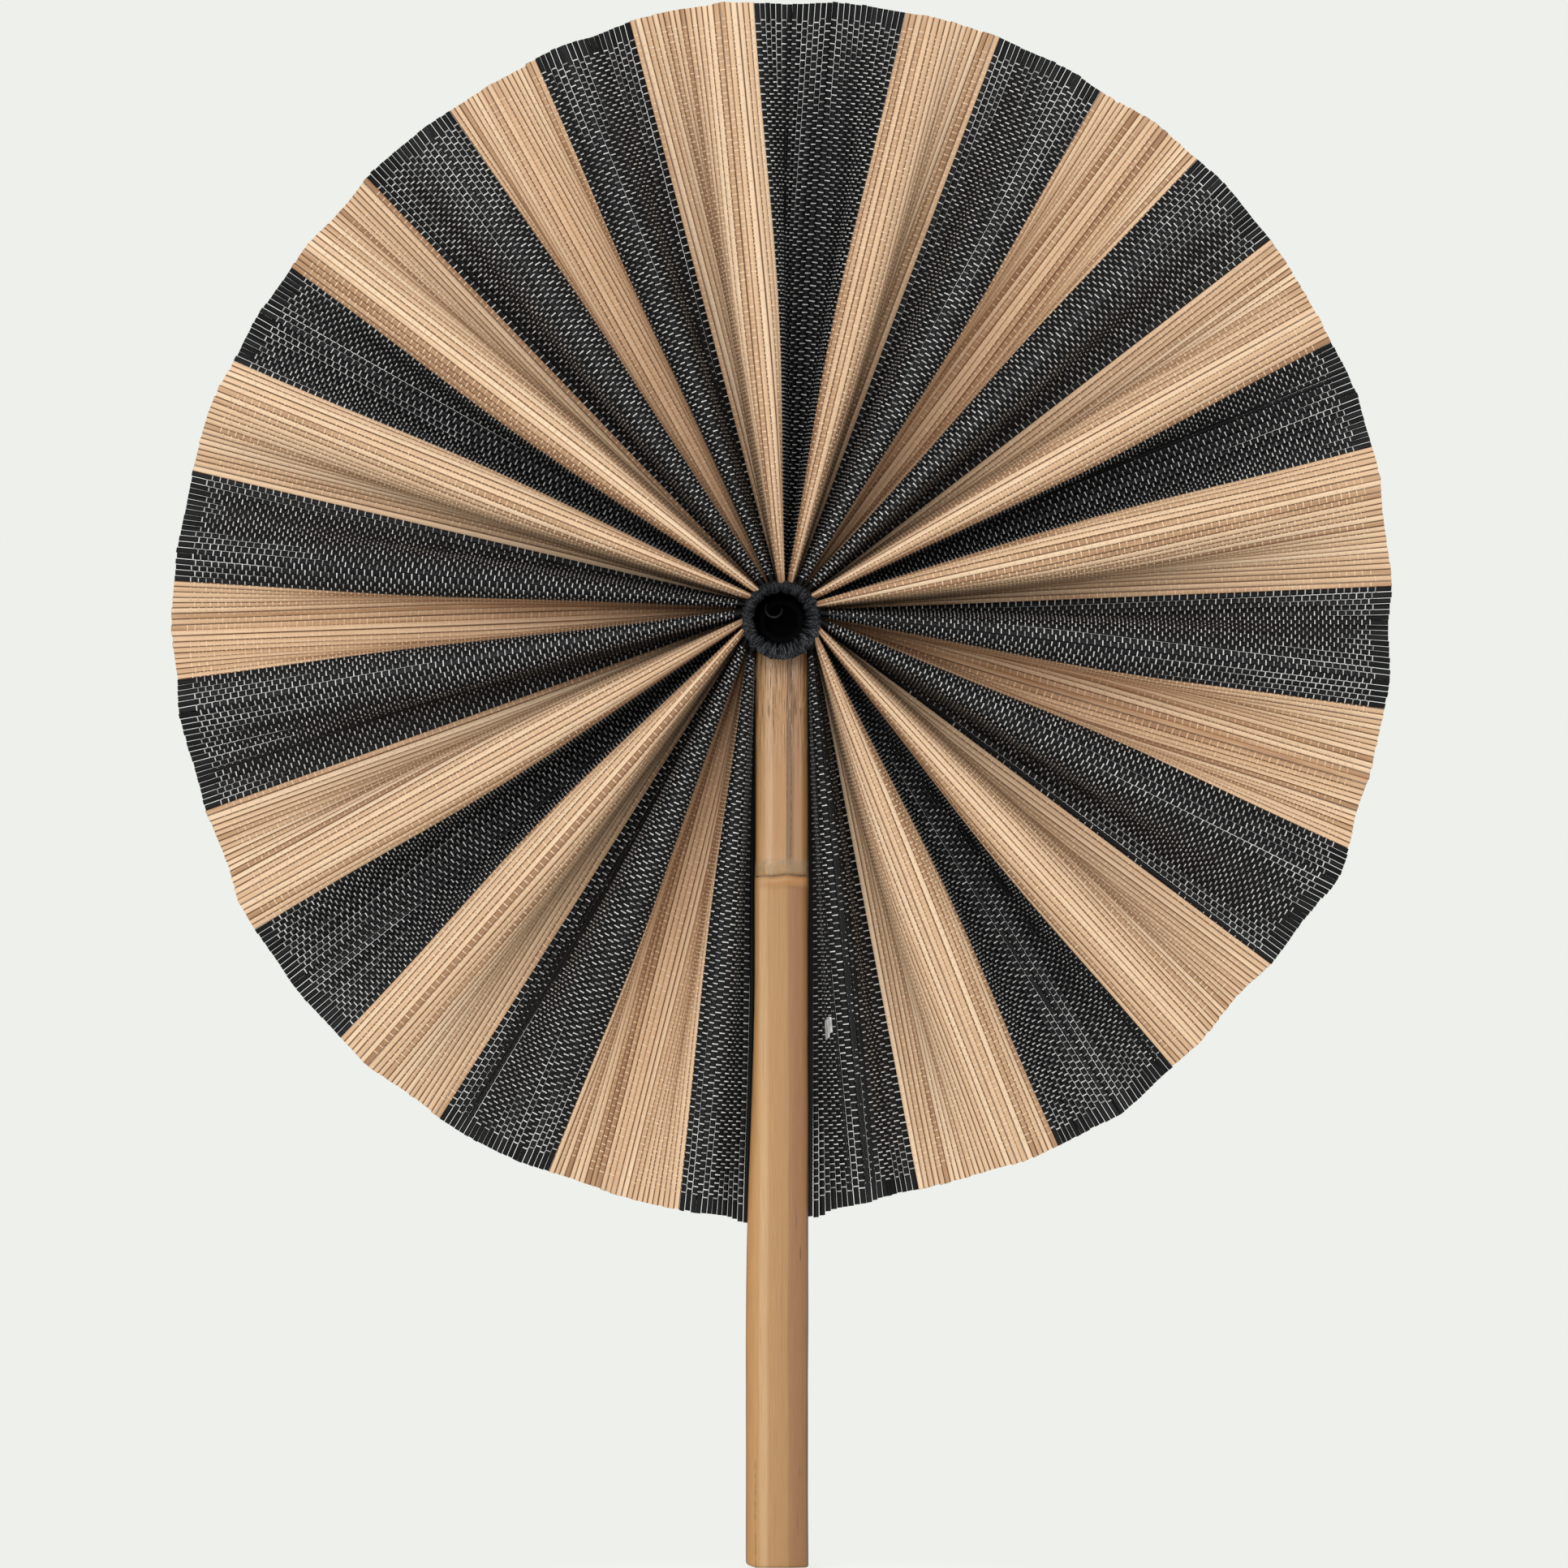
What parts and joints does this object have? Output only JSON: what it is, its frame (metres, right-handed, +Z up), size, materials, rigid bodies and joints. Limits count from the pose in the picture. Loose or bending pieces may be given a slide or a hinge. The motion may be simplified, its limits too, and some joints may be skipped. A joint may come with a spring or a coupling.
{
  "type": "folding hand fan",
  "caption": "Round pleated hand fan of striped bamboo matting, gathered at a hub, that opens between two bamboo slats which meet as its handle.",
  "frame": {"origin": "middle of the hand grip, on the plane where the two slats meet, 55 mm above the handle's end", "axes": "+Z up along the handle to the hub, +Y out of the back of the open disc, +X to the right"},
  "size_m": [0.3888, 0.0378, 0.4993],
  "materials": {
    "bamboo_slat": "natural bamboo skin",
    "natural_mat": "split bamboo sticks",
    "black_mat": "dyed bamboo sticks",
    "binding_tape": "matt woven",
    "binding_cord": "twisted"
  },
  "bodies": {
    "front_slat": {"front_slat": "bamboo_slat", "hub_binding": "binding_tape", "gathering_cord": "binding_cord"},
    "pleat_01": {"pleat_01": "black_mat"},
    "pleat_02": {"pleat_02": "natural_mat"},
    "pleat_03": {"pleat_03": "natural_mat"},
    "pleat_04": {"pleat_04": "black_mat"},
    "pleat_05": {"pleat_05": "natural_mat"},
    "pleat_06": {"pleat_06": "black_mat"},
    "pleat_07": {"pleat_07": "black_mat"},
    "pleat_08": {"pleat_08": "natural_mat"},
    "pleat_09": {"pleat_09": "black_mat"},
    "pleat_10": {"pleat_10": "natural_mat"},
    "pleat_11": {"pleat_11": "natural_mat"},
    "pleat_12": {"pleat_12": "black_mat"},
    "pleat_13": {"pleat_13": "natural_mat"},
    "pleat_14": {"pleat_14": "black_mat"},
    "pleat_15": {"pleat_15": "black_mat"},
    "pleat_16": {"pleat_16": "natural_mat"},
    "pleat_17": {"pleat_17": "black_mat"},
    "pleat_18": {"pleat_18": "natural_mat"},
    "pleat_19": {"pleat_19": "natural_mat"},
    "pleat_20": {"pleat_20": "black_mat"},
    "pleat_21": {"pleat_21": "natural_mat"},
    "pleat_22": {"pleat_22": "black_mat"},
    "pleat_23": {"pleat_23": "black_mat"},
    "pleat_24": {"pleat_24": "natural_mat"},
    "pleat_25": {"pleat_25": "black_mat"},
    "pleat_26": {"pleat_26": "natural_mat"},
    "pleat_27": {"pleat_27": "natural_mat"},
    "pleat_28": {"pleat_28": "black_mat"},
    "pleat_29": {"pleat_29": "natural_mat"},
    "pleat_30": {"pleat_30": "black_mat"},
    "pleat_31": {"pleat_31": "black_mat"},
    "pleat_32": {"pleat_32": "natural_mat"},
    "pleat_33": {"pleat_33": "black_mat"},
    "pleat_34": {"pleat_34": "natural_mat"},
    "pleat_35": {"pleat_35": "natural_mat"},
    "pleat_36": {"pleat_36": "black_mat"},
    "pleat_37": {"pleat_37": "natural_mat"},
    "pleat_38": {"pleat_38": "black_mat"},
    "pleat_39": {"pleat_39": "black_mat"},
    "pleat_40": {"pleat_40": "natural_mat"},
    "pleat_41": {"pleat_41": "black_mat"},
    "pleat_42": {"pleat_42": "black_mat"},
    "back_slat": {"back_slat": "bamboo_slat"}
  },
  "joints": [
    {"name": "pleat_22_swing", "type": "hinge", "parent": "front_slat", "child": "pleat_22", "pos_m": [-0.01936, 0, 0.24839], "axis": [0, -1, 0], "range_deg": [0, 179.5], "deforming": ["pleat_22", "hub_binding", "gathering_cord"]},
    {"name": "pleat_01_swing", "type": "hinge", "parent": "front_slat", "child": "pleat_01", "pos_m": [-0.01015, 0, 0.19949], "axis": [0, -1, 0], "range_deg": [0, 3.04], "deforming": ["pleat_01"]},
    {"name": "pleat_02_swing", "type": "hinge", "parent": "front_slat", "child": "pleat_02", "pos_m": [-0.005, 0, 0.22413], "axis": [0, -1, 0], "range_deg": [0, 9.88], "deforming": ["pleat_02"]},
    {"name": "pleat_03_swing", "type": "hinge", "parent": "front_slat", "child": "pleat_03", "pos_m": [-0.00554, 0, 0.22993], "axis": [0, -1, 0], "range_deg": [0, 18.94], "deforming": ["pleat_03"]},
    {"name": "pleat_04_swing", "type": "hinge", "parent": "front_slat", "child": "pleat_04", "pos_m": [-0.00626, 0, 0.23217], "axis": [0, -1, 0], "range_deg": [0, 28], "deforming": ["pleat_04"]},
    {"name": "pleat_05_swing", "type": "hinge", "parent": "front_slat", "child": "pleat_05", "pos_m": [-0.00696, 0, 0.23344], "axis": [0, -1, 0], "range_deg": [0, 36.79], "deforming": ["pleat_05"]},
    {"name": "pleat_06_swing", "type": "hinge", "parent": "front_slat", "child": "pleat_06", "pos_m": [-0.00784, 0, 0.23451], "axis": [0, -1, 0], "range_deg": [0, 46.41], "deforming": ["pleat_06"]},
    {"name": "pleat_07_swing", "type": "hinge", "parent": "front_slat", "child": "pleat_07", "pos_m": [-0.00874, 0, 0.23543], "axis": [0, -1, 0], "range_deg": [0, 56.33], "deforming": ["pleat_07"]},
    {"name": "pleat_08_swing", "type": "hinge", "parent": "front_slat", "child": "pleat_08", "pos_m": [-0.00955, 0, 0.23619], "axis": [0, -1, 0], "range_deg": [0, 65.69], "deforming": ["pleat_08"]},
    {"name": "pleat_09_swing", "type": "hinge", "parent": "front_slat", "child": "pleat_09", "pos_m": [-0.01035, 0, 0.23694], "axis": [0, -1, 0], "range_deg": [0, 75.05], "deforming": ["pleat_09"]},
    {"name": "pleat_10_swing", "type": "hinge", "parent": "front_slat", "child": "pleat_10", "pos_m": [-0.0111, 0, 0.23762], "axis": [0, -1, 0], "range_deg": [0, 83.86], "deforming": ["pleat_10"]},
    {"name": "pleat_11_swing", "type": "hinge", "parent": "front_slat", "child": "pleat_11", "pos_m": [-0.01172, 0, 0.2382], "axis": [0, -1, 0], "range_deg": [0, 91.55], "deforming": ["pleat_11"]},
    {"name": "pleat_12_swing", "type": "hinge", "parent": "front_slat", "child": "pleat_12", "pos_m": [-0.01236, 0, 0.23881], "axis": [0, -1, 0], "range_deg": [0, 99.24], "deforming": ["pleat_12"]},
    {"name": "pleat_13_swing", "type": "hinge", "parent": "front_slat", "child": "pleat_13", "pos_m": [-0.01307, 0, 0.23953], "axis": [0, -1, 0], "range_deg": [0, 107.49], "deforming": ["pleat_13"]},
    {"name": "pleat_14_swing", "type": "hinge", "parent": "front_slat", "child": "pleat_14", "pos_m": [-0.01379, 0, 0.24029], "axis": [0, -1, 0], "range_deg": [0, 115.74], "deforming": ["pleat_14"]},
    {"name": "pleat_15_swing", "type": "hinge", "parent": "front_slat", "child": "pleat_15", "pos_m": [-0.01448, 0, 0.24107], "axis": [0, -1, 0], "range_deg": [0, 123.71], "deforming": ["pleat_15"]},
    {"name": "pleat_16_swing", "type": "hinge", "parent": "front_slat", "child": "pleat_16", "pos_m": [-0.0152, 0, 0.24194], "axis": [0, -1, 0], "range_deg": [0, 131.96], "deforming": ["pleat_16"]},
    {"name": "pleat_17_swing", "type": "hinge", "parent": "front_slat", "child": "pleat_17", "pos_m": [-0.01589, 0, 0.24283], "axis": [0, -1, 0], "range_deg": [0, 139.93], "deforming": ["pleat_17"]},
    {"name": "pleat_18_swing", "type": "hinge", "parent": "front_slat", "child": "pleat_18", "pos_m": [-0.01654, 0, 0.24371], "axis": [0, -1, 0], "range_deg": [0, 147.34], "deforming": ["pleat_18"]},
    {"name": "pleat_19_swing", "type": "hinge", "parent": "front_slat", "child": "pleat_19", "pos_m": [-0.01719, 0, 0.24466], "axis": [0, -1, 0], "range_deg": [0, 154.75], "deforming": ["pleat_19"]},
    {"name": "pleat_20_swing", "type": "hinge", "parent": "front_slat", "child": "pleat_20", "pos_m": [-0.01781, 0, 0.24563], "axis": [0, -1, 0], "range_deg": [0, 161.88], "deforming": ["pleat_20"]},
    {"name": "pleat_21_swing", "type": "hinge", "parent": "front_slat", "child": "pleat_21", "pos_m": [-0.01851, 0, 0.24681], "axis": [0, -1, 0], "range_deg": [0, 169.85], "deforming": ["pleat_21"]},
    {"name": "pleat_23_swing", "type": "hinge", "parent": "pleat_22", "child": "pleat_23", "pos_m": [0.00107, 0, 0.25857], "axis": [0, -1, 0], "range_deg": [0, 9.65], "deforming": ["pleat_23"]},
    {"name": "pleat_24_swing", "type": "hinge", "parent": "pleat_22", "child": "pleat_24", "pos_m": [0.00183, 0, 0.25848], "axis": [0, -1, 0], "range_deg": [0, 17.62], "deforming": ["pleat_24"]},
    {"name": "pleat_25_swing", "type": "hinge", "parent": "pleat_22", "child": "pleat_25", "pos_m": [0.00257, 0, 0.25837], "axis": [0, -1, 0], "range_deg": [0, 25.03], "deforming": ["pleat_25"]},
    {"name": "pleat_26_swing", "type": "hinge", "parent": "pleat_22", "child": "pleat_26", "pos_m": [0.0034, 0, 0.25823], "axis": [0, -1, 0], "range_deg": [0, 33.28], "deforming": ["pleat_26"]},
    {"name": "pleat_27_swing", "type": "hinge", "parent": "pleat_22", "child": "pleat_27", "pos_m": [0.00423, 0, 0.25806], "axis": [0, -1, 0], "range_deg": [0, 41.53], "deforming": ["pleat_27"]},
    {"name": "pleat_28_swing", "type": "hinge", "parent": "pleat_22", "child": "pleat_28", "pos_m": [0.00501, 0, 0.25786], "axis": [0, -1, 0], "range_deg": [0, 49.22], "deforming": ["pleat_28"]},
    {"name": "pleat_29_swing", "type": "hinge", "parent": "pleat_22", "child": "pleat_29", "pos_m": [0.00582, 0, 0.25762], "axis": [0, -1, 0], "range_deg": [0, 57.2], "deforming": ["pleat_29"]},
    {"name": "pleat_30_swing", "type": "hinge", "parent": "pleat_22", "child": "pleat_30", "pos_m": [0.00666, 0, 0.25733], "axis": [0, -1, 0], "range_deg": [0, 65.45], "deforming": ["pleat_30"]},
    {"name": "pleat_31_swing", "type": "hinge", "parent": "pleat_22", "child": "pleat_31", "pos_m": [0.00749, 0, 0.257], "axis": [0, -1, 0], "range_deg": [0, 73.7], "deforming": ["pleat_31"]},
    {"name": "pleat_32_swing", "type": "hinge", "parent": "pleat_22", "child": "pleat_32", "pos_m": [0.00842, 0, 0.2566], "axis": [0, -1, 0], "range_deg": [0, 83.07], "deforming": ["pleat_32"]},
    {"name": "pleat_33_swing", "type": "hinge", "parent": "pleat_22", "child": "pleat_33", "pos_m": [0.00937, 0, 0.25613], "axis": [0, -1, 0], "range_deg": [0, 92.72], "deforming": ["pleat_33"]},
    {"name": "pleat_34_swing", "type": "hinge", "parent": "pleat_22", "child": "pleat_34", "pos_m": [0.01031, 0, 0.25562], "axis": [0, -1, 0], "range_deg": [0, 102.09], "deforming": ["pleat_34"]},
    {"name": "pleat_35_swing", "type": "hinge", "parent": "pleat_22", "child": "pleat_35", "pos_m": [0.01129, 0, 0.25502], "axis": [0, -1, 0], "range_deg": [0, 112.02], "deforming": ["pleat_35"]},
    {"name": "pleat_36_swing", "type": "hinge", "parent": "pleat_22", "child": "pleat_36", "pos_m": [0.0123, 0, 0.25435], "axis": [0, -1, 0], "range_deg": [0, 122.22], "deforming": ["pleat_36"]},
    {"name": "pleat_37_swing", "type": "hinge", "parent": "pleat_22", "child": "pleat_37", "pos_m": [0.01334, 0, 0.25358], "axis": [0, -1, 0], "range_deg": [0, 132.69], "deforming": ["pleat_37"]},
    {"name": "pleat_38_swing", "type": "hinge", "parent": "pleat_22", "child": "pleat_38", "pos_m": [0.0144, 0, 0.25272], "axis": [0, -1, 0], "range_deg": [0, 143.16], "deforming": ["pleat_38"]},
    {"name": "pleat_39_swing", "type": "hinge", "parent": "pleat_22", "child": "pleat_39", "pos_m": [0.01548, 0, 0.25177], "axis": [0, -1, 0], "range_deg": [0, 153.61], "deforming": ["pleat_39"]},
    {"name": "pleat_40_swing", "type": "hinge", "parent": "pleat_22", "child": "pleat_40", "pos_m": [0.01661, 0, 0.25069], "axis": [0, -1, 0], "range_deg": [0, 164.32], "deforming": ["pleat_40"]},
    {"name": "pleat_41_swing", "type": "hinge", "parent": "pleat_22", "child": "pleat_41", "pos_m": [0.01751, 0, 0.24968], "axis": [0, -1, 0], "range_deg": [0, 172.27], "deforming": ["pleat_41"]},
    {"name": "pleat_42_swing", "type": "hinge", "parent": "pleat_22", "child": "pleat_42", "pos_m": [0.01818, 0, 0.2488], "axis": [0, -1, 0], "range_deg": [0, 177.46], "deforming": ["pleat_42"]},
    {"name": "back_slat_swing", "type": "hinge", "parent": "pleat_22", "child": "back_slat", "pos_m": [0.01949, 0, 0.24856], "axis": [0, -1, 0], "range_deg": [0, 180.5]}
  ],
  "couplings": [
    {"joint": "pleat_01_swing", "follows": "pleat_22_swing", "ratio": 0.016935},
    {"joint": "pleat_02_swing", "follows": "pleat_22_swing", "ratio": 0.055047},
    {"joint": "pleat_03_swing", "follows": "pleat_22_swing", "ratio": 0.10549},
    {"joint": "pleat_04_swing", "follows": "pleat_22_swing", "ratio": 0.15598},
    {"joint": "pleat_05_swing", "follows": "pleat_22_swing", "ratio": 0.20494},
    {"joint": "pleat_06_swing", "follows": "pleat_22_swing", "ratio": 0.25858},
    {"joint": "pleat_07_swing", "follows": "pleat_22_swing", "ratio": 0.3138},
    {"joint": "pleat_08_swing", "follows": "pleat_22_swing", "ratio": 0.36595},
    {"joint": "pleat_09_swing", "follows": "pleat_22_swing", "ratio": 0.41812},
    {"joint": "pleat_10_swing", "follows": "pleat_22_swing", "ratio": 0.46718},
    {"joint": "pleat_11_swing", "follows": "pleat_22_swing", "ratio": 0.51002},
    {"joint": "pleat_12_swing", "follows": "pleat_22_swing", "ratio": 0.55287},
    {"joint": "pleat_13_swing", "follows": "pleat_22_swing", "ratio": 0.59884},
    {"joint": "pleat_14_swing", "follows": "pleat_22_swing", "ratio": 0.64479},
    {"joint": "pleat_15_swing", "follows": "pleat_22_swing", "ratio": 0.6892},
    {"joint": "pleat_16_swing", "follows": "pleat_22_swing", "ratio": 0.73516},
    {"joint": "pleat_17_swing", "follows": "pleat_22_swing", "ratio": 0.77956},
    {"joint": "pleat_18_swing", "follows": "pleat_22_swing", "ratio": 0.82084},
    {"joint": "pleat_19_swing", "follows": "pleat_22_swing", "ratio": 0.86212},
    {"joint": "pleat_20_swing", "follows": "pleat_22_swing", "ratio": 0.90184},
    {"joint": "pleat_21_swing", "follows": "pleat_22_swing", "ratio": 0.94624},
    {"joint": "pleat_23_swing", "follows": "pleat_22_swing", "ratio": 0.053765},
    {"joint": "pleat_24_swing", "follows": "pleat_22_swing", "ratio": 0.098172},
    {"joint": "pleat_25_swing", "follows": "pleat_22_swing", "ratio": 0.13945},
    {"joint": "pleat_26_swing", "follows": "pleat_22_swing", "ratio": 0.18541},
    {"joint": "pleat_27_swing", "follows": "pleat_22_swing", "ratio": 0.23138},
    {"joint": "pleat_28_swing", "follows": "pleat_22_swing", "ratio": 0.27423},
    {"joint": "pleat_29_swing", "follows": "pleat_22_swing", "ratio": 0.31863},
    {"joint": "pleat_30_swing", "follows": "pleat_22_swing", "ratio": 0.36461},
    {"joint": "pleat_31_swing", "follows": "pleat_22_swing", "ratio": 0.41058},
    {"joint": "pleat_32_swing", "follows": "pleat_22_swing", "ratio": 0.46278},
    {"joint": "pleat_33_swing", "follows": "pleat_22_swing", "ratio": 0.51656},
    {"joint": "pleat_34_swing", "follows": "pleat_22_swing", "ratio": 0.56875},
    {"joint": "pleat_35_swing", "follows": "pleat_22_swing", "ratio": 0.62406},
    {"joint": "pleat_36_swing", "follows": "pleat_22_swing", "ratio": 0.68089},
    {"joint": "pleat_37_swing", "follows": "pleat_22_swing", "ratio": 0.73923},
    {"joint": "pleat_38_swing", "follows": "pleat_22_swing", "ratio": 0.79752},
    {"joint": "pleat_39_swing", "follows": "pleat_22_swing", "ratio": 0.85576},
    {"joint": "pleat_40_swing", "follows": "pleat_22_swing", "ratio": 0.91545},
    {"joint": "pleat_41_swing", "follows": "pleat_22_swing", "ratio": 0.9597},
    {"joint": "pleat_42_swing", "follows": "pleat_22_swing", "ratio": 0.98862},
    {"joint": "back_slat_swing", "follows": "pleat_22_swing", "ratio": 1.0056}
  ]
}
